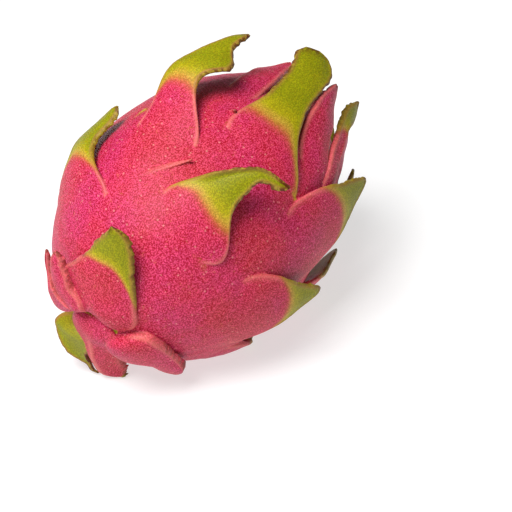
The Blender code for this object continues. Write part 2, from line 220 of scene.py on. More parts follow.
def hidden_bracts():
    """Rows that carry on the rhythm of the measured ones, each a little different, from one seeded draw."""
    draw = np.random.default_rng(HIDDEN_SEED)
    rows = []
    for x, turns, reach, width, root, spread in HIDDEN_RINGS:
        for turn in turns:
            size = 1.0 + spread * draw.uniform(-1.0, 1.0)
            bend = draw.uniform(-0.004, 0.004)
            along, around, lift = (size * d for d in reach)
            rows.append(bract(
                x + draw.uniform(-0.003, 0.003), turn + draw.uniform(-4.0, 4.0), (along, around + bend, lift),
                size * width, root, cup=draw.uniform(0.1, 0.3), sway=draw.uniform(-0.002, 0.002),
                spring=draw.uniform(0.0, 0.0015), swell=0.0018,
            ))
    return rows


# Dried flakes at the feet of the ridges, each with the faint ridge that leads to it as its root
FLAKES = [
    bract(-0.0164, 16.0, (0.0012, 0.0024, 0.0006), 0.0022, 0.024, lean=-26, thickness=0.0013, sunk=0.4,
          rim=0.6, spine=0.4, dry=0.3, green_at=2, swell=0, bead=0.0003),
    bract(0.0120, 15.5, (-0.0018, 0.0012, 0.0012), 0.0026, 0.003, thickness=0.0010,
          rim=0.9, spine=0.6, dry=0.5, green_at=2, swell=0, bead=0.0002),
    bract(-0.0243, 22.1, (-0.0022, -0.0002, 0.0008), 0.0024, 0.004, thickness=0.0010,
          rim=0.5, spine=0.3, dry=0.1, green_at=2, swell=0, bead=0.0002),
]
rows = SHOWN + hidden_bracts()
print("bracts:", len(rows), " flakes:", len(FLAKES))

# %% [markdown]
# ## Mounds and lumps
# The root of each bract lifts the skin in a soft mound, and flesh is never quite even. Where the mounds
# lie follows from the table. The unevenness is a sum of crossed waves that holds for every point of
# space, so the skin can ask for it anywhere.

# %% Mounds and lumps
MOUND_BACK = 0.35
MOUND_WIDTH = 0.42
LUMP_LENGTHS = (0.020, 0.016, 0.012, 0.010, 0.008)
LUMP_SEED = 3


def heading(row):
    """Where a bract leaves the egg, its way along the skin, and the way out there."""
    p = egg_point(row["x"], row["turn"])
    out, along, around = axes_at(p)
    return p, unit(along * row["reach"][0] + around * row["reach"][1]), out


mounds = []
for row in rows:
    leaving, way, _ = heading(row)
    mounds.append((leaving - way * MOUND_BACK * row["root"], MOUND_WIDTH * row["width"], row["swell"]))


def lumps(p):
    """Small unevenness of the flesh: a sum of crossed sine waves 8 to 20 mm long, from -1 to 1."""
    total = np.zeros(p.shape[:-1])
    draw = np.random.default_rng(LUMP_SEED)
    for length in LUMP_LENGTHS:
        ways = unit(draw.normal(size=(2, 3))) * 2.0 * np.pi / length
        starts = draw.uniform(0.0, 6.0, 2)
        total = total + np.sin(p @ ways[0] + starts[0]) * np.sin(p @ ways[1] + starts[1])
    return total / len(LUMP_LENGTHS)


print("highest mound, mm:", 1000 * max(height for _, _, height in mounds))

# %% [markdown]
# ## The skin of the body
# The body could be a sphere pulled into shape with sculpting brushes. A formula is easier to repeat: for
# every direction from the middle it says how far away the skin is. The egg comes first, then low waves
# round it, a soft mound under each bract's root, the sunken scar of the flower with its dry button, and
# the dimple of the stem. The fruit's own weight flattens it where it rests, so the distance is also cut
# off at the floor.

# %% How far out the skin is
EGG_TAPER = 0.06
WAVES = ((3, 0.7, 0.012), (5, 2.0, 0.008))
NAVEL_RADIUS = 0.0125
NAVEL_DEPTH = 0.0065
BUTTON_RADIUS = 0.0055
BUTTON_HEIGHT = 0.0035
DIMPLE_RADIUS = 0.0090
DIMPLE_DEPTH = 0.0025
LUMP_HEIGHT = 0.00035


def skin_distance(d):
    """Distance from the middle to the skin along unit directions d: egg, waves, mounds, scars and floor."""
    x = d[..., 0]
    r = np.sqrt(np.clip(1.0 - x * x, 0.0, 1.0))
    turn = np.arctan2(-d[..., 1], d[..., 2])
    far = 1.0 / np.sqrt((x / HALF_LENGTH) ** 2 + (r / HALF_WIDTH) ** 2)
    egg = d * far[..., None]
    far = far * (1.0 - EGG_TAPER * x * (1.0 - x * x))
    for count, start, share in WAVES:
        far = far * (1.0 + share * r * r * np.sin(count * turn + start))
    mound = np.zeros(x.shape)
    for middle, radius, height in mounds:
        away = ((egg - middle) ** 2).sum(-1)
        mound = np.maximum(mound, height * np.exp(-away / radius ** 2))
    off = far * r
    button = BUTTON_HEIGHT * (1.0 - ease(off / BUTTON_RADIUS))
    navel = button - NAVEL_DEPTH * (1.0 - ease(off / NAVEL_RADIUS))
    dimple = -DIMPLE_DEPTH * (1.0 - ease(off / DIMPLE_RADIUS))
    far = far + mound + np.where(x > 0.0, navel, dimple) + LUMP_HEIGHT * lumps(egg)
    down = -(d @ BASIS)[..., 2]
    to_floor = np.where(down > 0.2, REST_HEIGHT / np.maximum(down, 0.2), 1.0)
    return np.minimum(far, to_floor)


def on_skin(points, height):
    """Points moved along their rays from the middle, to this height over the skin."""
    d = unit(points)
    return d * (skin_distance(d) + height)[..., None]


def body_grid(rings, sides):
    """Directions by polar angle from the flower end and by turn, each carried out to the skin."""
    polar = np.linspace(0.0, np.pi, rings + 1)[:, None]
    turn = np.arange(sides)[None, :] * 2.0 * np.pi / sides
    d = np.stack([
        np.cos(polar) * np.ones_like(turn), -np.sin(polar) * np.sin(turn), np.sin(polar) * np.cos(turn),
    ], axis=-1)
    return d * skin_distance(d)[..., None]


BODY_RINGS = 170
BODY_SIDES = 250
body_points = body_grid(BODY_RINGS, BODY_SIDES)
print("body grid:", body_points.shape[:2])

# %% [markdown]
# ## The line and the outline of a bract
# A bract is a leaf that starts inside the skin. Its middle line is a Bezier curve from the buried root,
# over the place where it lets go, to the tip. Its outline is broad at the root, draws in with hollow
# sides and ends rounded or pointed. Both are functions of u, which runs from 0 at the root to 1 at the
# tip.

# %% Middle line and half width
PROUD = 0.0012
ROOT_ROUNDING = 0.2
NEAR_SHARE = 0.35
FAR_SHARE = 0.4
NARROWEST = 0.0004


def blade_line(row, u):
    """Cubic Bezier: (1-t)^3 start + 3t(1-t)^2 near + 3t^2(1-t) far + t^3 tip. Also the ways across and out,
    and the u at which the blade leaves the skin."""
    p, way, out = heading(row)
    p = on_skin(p, PROUD)
    around = np.cross(axes_at(egg_point(row["x"], row["turn"]))[1], out)
    along = np.cross(out, around)
    sideways = np.cross(way, out)
    free = np.hypot(row["reach"][0], row["reach"][1])
    tip = p + along * row["reach"][0] + around * row["reach"][1] + out * row["reach"][2]
    lean = radians(row["lean"])
    start = p - (way * cos(lean) + sideways * sin(lean)) * row["root"]
    curl = radians(row["curl"])
    near = p + way * NEAR_SHARE * free + out * row["spring"] + sideways * 0.5 * row["sway"]
    far = tip - (way * cos(curl) + out * sin(curl)) * FAR_SHARE * free + sideways * row["sway"]
    t = u[:, None]
    line = (1 - t) ** 3 * start + 3 * t * (1 - t) ** 2 * near + 3 * t * t * (1 - t) * far + t ** 3 * tip
    ahead = unit(np.gradient(line, axis=0))
    across = unit(sideways - ahead * (ahead @ sideways)[:, None])
    return line, across, np.cross(across, ahead), row["root"] / (row["root"] + free)


def through(values, u):
    """Catmull-Rom curve through values at even steps of u: each piece is a cubic that leaves a value with
    half the difference of its two neighbours as slope."""
    values = np.concatenate([[2 * values[0] - values[1]], values, [2 * values[-1] - values[-2]]])
    t = np.clip(u, 0.0, 1.0) * (len(values) - 3)
    i = np.minimum(t.astype(int), len(values) - 4)
    f = t - i
    a, b, c, d = (values[i + k] for k in range(4))
    return b + 0.5 * f * (c - a + f * (2 * a - 5 * b + 4 * c - d + f * (3 * (b - c) + d - a)))


def half_widths(row, u):
    """Distance of both edges from the middle line: the row's curve, times a round root, times the tip."""
    root = np.sqrt(1.0 - np.clip(1.0 - u / ROOT_ROUNDING, 0.0, 1.0) ** 2)
    end = np.clip((u - row["rounding"]) / (1.0 - row["rounding"]), 0.0, 1.0)
    shape = root * (1.0 - end ** 2) ** row["blunt"] * 0.5 * row["width"]
    return [np.maximum(shape * through(row[key], u), NARROWEST) for key in ("left", "right")]


print("widest bract, mm:", max(1000 * row["width"] for row in rows))

# %% [markdown]
# ## Across a blade
# The section across a blade is thin and bent, thicker at the root. Three things shape it: how uneven the
# edges are, how thick the blade is on either side of its middle sheet, and how far that sheet drops
# beside its middle line. The edges of the free part have dried, so they waver most toward the tip.

# %% Edge, thickness and bend
ROOT_SINK = 0.0030
KEEL_ROUNDING = 0.0012
THIN_UNDER = 0.003
THINNEST_HALF = 0.00035
EDGE_WAVER = 0.00035
WAVER_CYCLES = (4.0, 7.0, 11.0, 17.0)
ABOUT_A_TURN = 6.3


def edge_waver(u, v, seed):
    """How far each edge wavers sideways: four sines along the blade, with other starts on either side."""
    draw = np.random.default_rng(seed)
    waver = np.zeros((len(u), v.shape[1]))
    for cycles in WAVER_CYCLES:
        right_start, left_start = draw.uniform(0.0, 6.0, 2)
        on_right = np.sin(cycles * ABOUT_A_TURN * u + right_start)[:, None]
        on_left = np.sin(cycles * ABOUT_A_TURN * u + left_start)[:, None]
        waver = waver + np.where(v > 0, on_right, on_left) / 2.5
    torn = EDGE_WAVER * (ease((u - 0.3) / 0.3) + 0.8 * ease((u - 0.8) / 0.15))[:, None]
    return torn * waver * v ** 5


def half_thickness(row, u, leaves, mean):
    """Distance of the upper and under surface from the middle sheet. Both shrink toward the tip and where the
    blade is narrow, and at the root the under one reaches deep into the body."""
    thin = np.clip(mean / THIN_UNDER, 0.15, 1.0)
    over = row["thickness"] * (0.55 - 0.25 * ease((u - leaves) / (1.0 - leaves))) * thin
    over = np.maximum(over, THINNEST_HALF)
    return over, over + ROOT_SINK * (1.0 - ease((u - leaves + 0.12) / 0.12))


def section_drop(row, u, v, y, leaves, mean):
    """How far the sheet drops y beside its middle line: a bend y^2 and a roof |y|, less the rolled edges."""
    bend = (1.0 - ease((u - 0.3) / 0.5)) / (2.0 * HALF_WIDTH)
    bend = bend + ease((u - 0.35) / 0.5) * row["cup"] / np.maximum(mean, 0.002)
    roof = row["keel"] * ease(u / 0.4)
    drop = bend[:, None] * y * y + roof[:, None] * (np.hypot(y, KEEL_ROUNDING) - KEEL_ROUNDING)
    roll = np.where(v < 0, row["roll"][0], row["roll"][1]) * ease((np.abs(v) - 0.45) / 0.55)
    return drop - roll * ease((u - leaves) / 0.15)[:, None]


trial = edge_waver(np.linspace(0.0, 1.0, 200), np.ones((1, 1)), 8)
print("an edge wavers, mm, at most:", round(1000 * np.abs(trial).max(), 2))

# %% [markdown]
# ## The blade of a bract
# Where the blade is still part of the skin, only its two edges stand out, as the thin raised ridges that
# run down a dragon fruit from each scale. So the root is pressed onto the skin, its middle just under it
# and a bead along each edge just over it, and from there the points pass over smoothly to the free blade.
# A blade that would go through the floor is pressed flat over it.

# %% Blade surface
ROOT_COVER = 0.0004
BEAD_WIDTH = 0.0007
BEAD_SINK = 0.0008
PRESS_HEIGHT = 0.0045
FLOOR_GAP = 0.0003
WAVER_FROM = 0.002


def over_floor(points):
    """Heights under PRESS_HEIGHT are squeezed by an exponential that levels out at FLOOR_GAP."""
    z = points[..., 2]
    span = PRESS_HEIGHT - FLOOR_GAP
    low = FLOOR_GAP + span * np.exp(np.minimum(z - PRESS_HEIGHT, 0.0) / span)
    points[..., 2] = np.where(z < PRESS_HEIGHT, low, z)
    return points


def blade_grid(row, rings, sides, seed):
    """Closed sections along the middle line, closer together at the tip. Across: half width times cos of the
    section angle. Out: thickness times its sine, less the drop. The root is carried onto the skin."""
    step = np.linspace(0.0, 1.0, rings)
    u = step * (1.35 - 0.35 * step)
    line, across, outward, leaves = blade_line(row, u)
    leaves = 0.9 * leaves
    section = np.arange(sides) * 2.0 * np.pi / sides
    section = section - 0.2 * np.sin(2.0 * section)
    v = np.cos(section)[None, :]
    side = (np.sign(np.sin(section)) * np.abs(np.sin(section)) ** 0.75)[None, :]
    left, right = half_widths(row, u)
    mean = 0.5 * (left + right)
    half = np.where(v < 0.0, left[:, None], right[:, None])
    y = half * v + edge_waver(u, v, seed) * (half > WAVER_FROM)
    over, under = half_thickness(row, u, leaves, mean)
    thick = np.where(side >= 0.0, over[:, None], under[:, None]) * side
    drop = section_drop(row, u, v, y, leaves, mean)
    sheet = line[:, None] + across[:, None] * y[..., None] - outward[:, None] * drop[..., None]

    from_edge = (1.0 - np.abs(v)) * half
    bead = np.exp(-((from_edge - BEAD_WIDTH) / BEAD_WIDTH) ** 2) * (side >= -0.05)
    loose = sheet + outward[:, None] * (thick + 0.6 * row["bead"] * bead)[..., None]
    low = -row["sunk"] * (over + ROOT_COVER)
    rise = low + (PROUD - low) * ease(u / leaves)
    crest = -BEAD_SINK + (row["bead"] + BEAD_SINK) * ease((u / leaves - 0.12) / 0.5)
    height = rise[:, None] + thick
    lifted = np.maximum(height, crest[:, None])
    pressed = on_skin(sheet, height + (lifted - height) * bead * row["sunk"])
    free = ease((u - leaves + 0.2) / 0.35)[:, None, None]
    return pressed * (1.0 - free) + loose * free, u, v, side, half, leaves


trial = blade_grid(tallest, 40, 44, 8)[0]
print("tallest bract, length in mm:", round(1000 * float(np.linalg.norm(trial[0, 0] - trial[-1, 0])), 1))

# %% [markdown]
# ## Numbers for the paint
# The colour of a dragon fruit follows its growth. The green of a bract fades through yellow into the pink
# of the skin, and runs further down along the edges, and what is thin or was rubbed dries to tan and
# brown. Such a pattern belongs to the place on the blade, so it is worked out with the shape and stored
# as three numbers on each vertex: ripe to green, rim, and dry. The rim number also holds a pale line along
# the middle of a few blades, a painted highlight on the crest of the keel. The skin between two ridges
# belongs to a blade too, and takes the same numbers from its own place along that blade.

# %% Three numbers for each vertex
RIDGE_FROM_EDGE = 0.0006
LINE_WIDTH = 0.0008
PAINT_DEPTH = 0.012
PAINT_FADE = 0.04
SCAR_RADIUS = 0.0045
STEM_RADIUS = 0.002
SCAR_FADE = 0.003


def green_on(row, u, v):
    """0 on pink skin to 1 on the green tip: a smooth step along the blade that starts sooner at its edges."""
    start = row["green_at"] - np.where(v < 0.0, row["green_edge"][0], row["green_edge"][1]) * np.abs(v) ** 3
    return ease((u - start) / (row["green_span"] * 2.0))


def blade_paint(row, u, v, side, half, leaves):
    """Green, rim and dryness on a blade. Lines are bells exp(-(distance / 0.8 mm)^2): the rim follows both
    edges, a painted highlight follows the middle line and is stored in the rim number too, and dryness
    follows the edges of the free part and covers the tip."""
    u = u[:, None]
    from_edge = (1.0 - np.abs(v)) * half
    ridge = np.exp(-((from_edge - RIDGE_FROM_EDGE) / LINE_WIDTH) ** 2) * (side > -0.3)
    ridge = row["rim"] * ridge * ease((u - 0.05 * leaves) / (0.4 * leaves))
    # painted highlight: a pale line along the middle line, in place of the lit crest of the keel; stored with
    # the rim
    spine = row["spine"] * np.exp(-(v * half / LINE_WIDTH) ** 2) * ease((u - 0.1) / 0.2)
    brittle = np.exp(-(from_edge / LINE_WIDTH) ** 2) * ease((u - 0.8 * leaves) / 0.3)
    dry = np.clip(row["dry"] * (brittle + ease((u - 0.92) / 0.08)), 0.0, 1.0)
    return dict(green=green_on(row, u, v), rim=np.maximum(ridge, spine), dry=dry)


def body_paint(points):
    """Green of the body's skin inside each blade's outline, and the dry scars at both ends."""
    green = np.zeros(points.shape[:-1])
    for row in rows:
        p, way, out = heading(row)
        sideways = np.cross(way, out)
        length = row["root"] + np.hypot(row["reach"][0], row["reach"][1])
        rel = points - (on_skin(p, 0.0) - way * row["root"])
        u = rel @ way / length
        left, right = half_widths(row, np.clip(u, 0.0, 1.0))
        v = rel @ sideways
        v = v / np.where(v < 0.0, left, right)
        near = (np.abs(v) < 1.0) & (u > 0.0) & (np.abs(rel @ out) < PAINT_DEPTH)
        fade = 1.0 - ease((u - row["root"] / length + PAINT_FADE) / PAINT_FADE)
        green = np.maximum(green, np.where(near, green_on(row, u, np.clip(v, -1, 1)) * fade, 0.0))
    off = np.hypot(points[..., 1], points[..., 2])
    radius = np.where(points[..., 0] > 0.0, SCAR_RADIUS, STEM_RADIUS)
    return dict(green=green, rim=np.zeros_like(green), dry=1.0 - ease((off - radius) / SCAR_FADE))


print("green along the tallest bract:", green_on(tallest, np.array([0.3, 0.6, 0.9]), 0.0).round(2))

# %% [markdown]
# ## From grids to closed meshes
# A grid of points becomes a closed mesh when its last column joins its first and each end ring is drawn
# together in one point. The three numbers go in as point attributes, and a fourth, the mark, is 1
# everywhere. The union adds new vertices along its cuts and gives them zeros, so the mark tells later
# which they are.

# %% Closed surfaces
PAINTS = ("green", "rim", "dry")


def closed_surface(name, points, paint, collection):
    """Quads between neighbouring rings and a fan of triangles at each end, facing out by signed volume."""
    rings, sides, _ = points.shape
    inside = slice(1, rings - 1)
    flat = points[inside].reshape(-1, 3)
    ends = np.stack([points[0].mean(0), points[-1].mean(0)])
    first = np.arange(rings - 3)[:, None] * sides
    here = np.arange(sides)[None, :]
    after = (here + 1) % sides
    quads = np.stack([first + here, first + sides + here, first + sides + after, first + after], axis=-1)
    last = (rings - 3) * sides
    root = np.stack([np.full(sides, len(flat)), here[0], after[0]], axis=-1)
    tip = np.stack([np.full(sides, len(flat) + 1), last + after[0], last + here[0]], axis=-1)
    corners = np.concatenate([flat, ends])
    quads = quads.reshape(-1, 4)
    thirds = np.concatenate([quads[:, :3], quads[:, [0, 2, 3]], root, tip])
    a, b, c = (corners[thirds[:, i]] for i in range(3))
    if (a * np.cross(b, c)).sum() < 0.0:
        quads, root, tip = quads[:, ::-1], root[:, ::-1], tip[:, ::-1]
    mesh = bpy.data.meshes.new(name)
    mesh.from_pydata(corners, [], quads.tolist() + root.tolist() + tip.tolist())
    for key in PAINTS:
        values = np.concatenate([paint[key][inside].ravel(), [paint[key][0].mean(), paint[key][-1].mean()]])
        layer = mesh.attributes.new(key, "FLOAT", "POINT")
        layer.data.foreach_set("value", values.astype(np.float32))
    layer = mesh.attributes.new("mark", "FLOAT", "POINT")
    layer.data.foreach_set("value", np.ones(len(corners), np.float32))
    piece = bpy.data.objects.new(name, mesh)
    collection.objects.link(piece)
    return piece

fruit_points = body_points @ BASIS + MIDDLE
scene = bpy.context.scene
fruit = closed_surface("dragon_fruit_skin", fruit_points, body_paint(body_points), scene.collection)
print("body faces:", len(fruit.data.polygons))

# %% [markdown]
# ## All the blades
# The blades go into a collection of their own, which the union can name as a whole. The ones in view get
# the finest grids, and each has its number as the seed of its wavering edge.

# %% Blades
SHOWN_GRID = (52, 48)
HIDDEN_GRID = (32, 32)
FLAKE_GRID = (20, 16)
blades = bpy.data.collections.new("blades")
scene.collection.children.link(blades)
grids = [SHOWN_GRID] * len(SHOWN) + [HIDDEN_GRID] * (len(rows) - len(SHOWN)) + [FLAKE_GRID] * len(FLAKES)
for number, (row, grid) in enumerate(zip(rows + FLAKES, grids)):
    points, *place = blade_grid(row, *grid, seed=number)
    paint = blade_paint(row, *place)
    closed_surface(f"blade_{number}", over_floor(points @ BASIS + MIDDLE), paint, blades)

# %% [markdown]
# ## Grown together
# Separate blades stuck through a body leave hidden walls inside. A Boolean union cuts those away and
# leaves one closed surface, as on a thing that grew in one piece. The Manifold solver does it in a moment
# and carries the attributes over, which the Exact solver loses for the blades.

# %% One union
union = fruit.modifiers.new("grown_together", "BOOLEAN")
union.operation = "UNION"
union.solver = "MANIFOLD"
union.operand_type = "COLLECTION"
union.collection = blades
bpy.context.view_layer.update()
joined = bpy.data.meshes.new_from_object(fruit.evaluated_get(bpy.context.evaluated_depsgraph_get()))
fruit.modifiers.clear()
fruit.data = joined
for blade in list(blades.objects):
    bpy.data.objects.remove(blade, do_unlink=True)
bpy.data.collections.remove(blades)
print("joined:", len(joined.vertices), "vertices,", len(joined.polygons), "faces")

# %% [markdown]
# ## Paint on the seams
# The new vertices along the cuts have no paint yet. That is mended by looking at neighbours: the edges
# give, for each vertex, the average of the vertices next to it, and new vertices take their paint from
# that average.

# %% Paint the seams
PAINT_ROUNDS = 4


def neighbour_mean(values, weights, ends):
    """Average of the weighted values at the other ends of a vertex's edges, and the sum of those weights."""
    total = np.zeros_like(values)
    share = np.zeros(len(weights))
    for here, there in ((ends[:, 0], ends[:, 1]), (ends[:, 1], ends[:, 0])):
        share += np.bincount(here, weights=weights[there], minlength=len(weights))
        for axis in range(values.shape[1]):
            pulled = weights[there] * values[there, axis]
            total[:, axis] += np.bincount(here, weights=pulled, minlength=len(weights))
    return total / np.maximum(share, 1e-9)[:, None], share


def read_layer(mesh, key):
    """The number that the mesh stores under this name on every vertex, as one array."""
    values = np.zeros(len(mesh.vertices), np.float32)
    mesh.attributes[key].data.foreach_get("value", values)
    return values.astype(float)


edge_ends = np.zeros(len(joined.edges) * 2, np.int32)
joined.edges.foreach_get("vertices", edge_ends)
edge_ends = edge_ends.reshape(-1, 2)
mark = read_layer(joined, "mark")
known = (mark > 0.5).astype(float)
paints = np.stack([read_layer(joined, key) for key in PAINTS], axis=-1)
for _ in range(PAINT_ROUNDS):
    mean, share = neighbour_mean(paints, known, edge_ends)
    fill = (known < 0.5) & (share > 0.0)
    paints[fill] = mean[fill]
    known[fill] = 1.0
for index, key in enumerate(PAINTS):
    joined.attributes[key].data.foreach_set("value", paints[:, index].astype(np.float32))
print("seam vertices:", int((mark < 0.5).sum()), " still without paint:", int((known < 0.5).sum()))

# %% [markdown]
# ## Soft seams
# The cuts of the union are as sharp as a knife's. The new vertices are drawn toward the average of their
# neighbours a few times, and those neighbours half as much, which rounds the crease as flesh is rounded.
# At last the outermost half millimetre under the sides and the top of the solid's box is eased in, so
# that no wavering edge passes that box.

# %% Round the seams
SEAM_ROUNDS = 6
SEAM_PULL = 0.5
NEXT_TO_SEAM = 0.5
BOX_EASE = 0.0005
SHARP_ANGLE = radians(60.0)


def eased_into(points, corners):
    """Points inside a box: from the ease e before a side at h, the distance d from the box's middle becomes
    h - e + e tanh((d - h + e) / e). The bottom side is left as it is."""
    half = (corners[1] - corners[0]) / 2.0
    away = points - corners.mean(axis=0)
    past = np.abs(away) - half + BOX_EASE
    past[:, 2] = np.where(away[:, 2] > 0.0, past[:, 2], 0.0)
    eased = half - BOX_EASE + BOX_EASE * np.tanh(past / BOX_EASE)
    return np.where(past > 0.0, corners.mean(axis=0) + np.sign(away) * eased, points)


seam = (mark < 0.5).astype(float)
evenly = np.ones(len(seam))
touches_seam = neighbour_mean(seam[:, None], evenly, edge_ends)[0][:, 0] > 0
pull = SEAM_PULL * np.maximum(seam, NEXT_TO_SEAM * touches_seam)
places = np.zeros(len(joined.vertices) * 3, np.float32)
joined.vertices.foreach_get("co", places)
places = places.reshape(-1, 3).astype(float)
before = places.copy()
for _ in range(SEAM_ROUNDS):
    mean, _ = neighbour_mean(places, evenly, edge_ends)
    places = places + (mean - places) * pull[:, None]
places = eased_into(places, np.array([list(corner) for corner in solid_box]))
joined.vertices.foreach_set("co", places.astype(np.float32).ravel())
joined.update()
joined.shade_smooth()
joined.set_sharp_from_angle(angle=SHARP_ANGLE)
print("moved at most, mm:", round(1000 * np.abs(places - before).max(), 2))

# %% [markdown]
# ## Nodes and colours
# Colours are easiest to read as hex values, which are sRGB, while the shader works in linear light, so
# one function turns them. Another adds a node with its settings and its links, and the skin's material is
# made with it.

# %% Small helpers for shaders


def linear(hex_colour):
    """sRGB hex to linear: c / 12.92 under 0.04045, else ((c + 0.055) / 1.055)^2.4."""
    parts = [int(hex_colour[i:i + 2], 16) / 255.0 for i in (1, 3, 5)]
    return tuple(c / 12.92 if c <= 0.04045 else ((c + 0.055) / 1.055) ** 2.4 for c in parts) + (1.0,)


def add_node(tree, kind, settings, inputs):
    """A node with its properties set, and each input given a value or linked to the socket that feeds it.
    The stops of a colour ramp count as a setting: pairs of a place from 0 to 1 and a colour."""
    node = tree.nodes.new(kind)
    for key, value in settings.items():
        if key == "stops":
            for place, colour in value[2:]:
                node.color_ramp.elements.new(place)
            for element, (place, colour) in zip(node.color_ramp.elements, value):
                element.position = place
                element.color = colour
        else:
            setattr(node, key, value)
    for key, value in inputs.items():
        if isinstance(value, bpy.types.NodeSocket):
            tree.links.new(value, node.inputs[key])
        else:
            node.inputs[key].default_value = value
    return node


print("crimson, linear:", tuple(round(c, 3) for c in linear("#D8305C")))

# %% [markdown]
# ## The grain of the skin
# Looked at closely the skin is a grain of light and dark pink, less than half a millimetre across, with
# yellowish flecks and a few pale dots. The grain is drawn half a millimetre wide, as fine as the picture
# can show. Broad patches, magenta here and salmon there, lie under it. All are noises in the fruit's own
# coordinates, so they stay where they are on the skin.

# %% Noises
GRAIN = 0.0005
FLECK = 0.0016
SPECK = 0.0030
MOTTLE = 0.022
NOISES = (("mottle", MOTTLE, 3.0, 0.55), ("grain", GRAIN, 2.0, 0.7), ("fleck", FLECK, 3.0, 0.6))


def skin_noises(tree):
    """Sockets by name: fractal noises from 0 to 1, and the distance to the nearest of scattered points."""
    place = add_node(tree, "ShaderNodeTexCoord", {}, {}).outputs["Object"]
    noise = {}
    for key, size, detail, rough in NOISES:
        inputs = {"Vector": place, "Scale": 1 / size, "Detail": detail, "Roughness": rough}
        noise[key] = add_node(tree, "ShaderNodeTexNoise", {}, inputs).outputs[0]
    inputs = {"Vector": place, "Scale": 1 / SPECK}
    noise["speck"] = add_node(tree, "ShaderNodeTexVoronoi", {}, inputs).outputs["Distance"]
    return noise


print("sizes of the noises, mm:", [1000 * size for _, size, _, _ in NOISES])

# %% [markdown]
# ## Pink
# Pink is three broad shades. The grain weaves a darker and a lighter tone of them together, and flecks
# and dots lie on top. A smooth step turns each noise into a mask, from 0 at one limit to the layer's full
# share at the other.

# %% Pink flesh
BLEND = {"data_type": "RGBA"}
TINT = {"data_type": "RGBA", "blend_type": "MULTIPLY"}
STEP = {"interpolation_type": "SMOOTHSTEP"}
LIGHTER = 0.21
FLECK_SHARE = 0.22
DOT_SHARE = 0.35


def pink_skin(tree, noise, woven):
    """Pink in three shades by the broad noise and two tones by the grain, with flecks and pale dots on it."""
    shades = ((0.36, linear("#D40C66")), (0.5, linear("#D60C50")), (0.64, linear("#D2183C")))
    pink = add_node(tree, "ShaderNodeValToRGB", {"stops": shades}, {0: noise["mottle"]}).outputs[0]
    dark = add_node(tree, "ShaderNodeMix", TINT, {0: 1.0, 6: pink, 7: linear("#BC5C74")}).outputs[2]
    light = add_node(tree, "ShaderNodeMix", BLEND, {0: LIGHTER, 6: pink, 7: linear("#FF90AC")}).outputs[2]
    skin = add_node(tree, "ShaderNodeMix", BLEND, {0: woven, 6: dark, 7: light}).outputs[2]
    flecks = {0: noise["fleck"], 1: 0.60, 2: 0.72, 4: FLECK_SHARE}
    flecks = add_node(tree, "ShaderNodeMapRange", STEP, flecks).outputs[0]
    skin = add_node(tree, "ShaderNodeMix", BLEND, {0: flecks, 6: skin, 7: linear("#D88048")}).outputs[2]
    dots = {0: noise["speck"], 1: 0.16, 2: 0.08, 4: DOT_SHARE}
    dots = add_node(tree, "ShaderNodeMapRange", STEP, dots).outputs[0]
    return add_node(tree, "ShaderNodeMix", BLEND, {0: dots, 6: skin, 7: linear("#F0B0A0")}).outputs[2]


print("pink, linear:", tuple(round(c, 3) for c in linear("#D60C50")))

# %% [markdown]
# ## Green
# A bract turns from the pink of the skin over orange and yellow to lime. The number stored on the
# vertices says how far it has turned. The noises push that number to and fro, so that the border frays as
# on the fruit.

# %% Green of the bracts
MULTIPLY = {"operation": "MULTIPLY"}
MULTIPLY_ADD = {"operation": "MULTIPLY_ADD"}
SUBTRACT = {"operation": "SUBTRACT"}
FRAY_BROAD = 0.5
FRAY_FINE = 0.3
RIPENING = (
    (0.0, "#CC3050"), (0.22, "#CC6840"), (0.42, "#CCA43C"), (0.62, "#B4A80E"), (1.0, "#969604"),
)


def green_skin(tree, noise, woven, stored):
    """Colour by g + g (0.5 (broad - 1/2) + 0.3 (fine - 1/2)), g as stored, and how far it hides the pink."""
    shift = {0: noise["mottle"], 1: FRAY_BROAD, 2: -FRAY_BROAD / 2}
    shift = add_node(tree, "ShaderNodeMath", MULTIPLY_ADD, shift).outputs[0]
    shift = {0: noise["fleck"], 1: FRAY_FINE, 2: shift}
    shift = add_node(tree, "ShaderNodeMath", MULTIPLY_ADD, shift).outputs[0]
    shift = add_node(tree, "ShaderNodeMath", SUBTRACT, {0: shift, 1: FRAY_FINE / 2}).outputs[0]
    green = add_node(tree, "ShaderNodeMath", MULTIPLY_ADD, {0: stored, 1: shift, 2: stored}).outputs[0]
    shades = tuple((place, linear(colour)) for place, colour in RIPENING)
    leaf = add_node(tree, "ShaderNodeValToRGB", {"stops": shades}, {0: green}).outputs[0]
    pores = add_node(tree, "ShaderNodeMix", TINT, {0: 1.0, 6: leaf, 7: linear("#C8C8A0")}).outputs[2]
    leaf = add_node(tree, "ShaderNodeMix", BLEND, {0: woven, 6: pores, 7: leaf}).outputs[2]
    return leaf, add_node(tree, "ShaderNodeMapRange", STEP, {0: green, 1: 0.03, 2: 0.35}).outputs[0]


print("colours of a bract from root to tip:", len(RIPENING))

# %% [markdown]
# ## Material: waxed skin of a cactus fruit
# The skin is living plant tissue under a thin wax. It was never polished, so it shines softly, and a
# little light goes through its outer cells and comes back red. The rims of the bracts are pale on pink
# skin and tan on the green, and brown in spots where they have dried. The same pale and tan colour also
# paints a highlight along the middle line of a few bracts. The grain also stands out a quarter of a
# millimetre, which breaks up the shine.

# %% Skin material
RIM_SHARE = 0.75
ROUGHNESS = 0.48
WAX_IOR = 1.45
WAX_SHINE = 0.25
GRAIN_DEPTH = 0.00025
GRAIN_STRENGTH = 0.5
SCATTER_SHARE = 0.1
SCATTER_DEPTH = 0.002


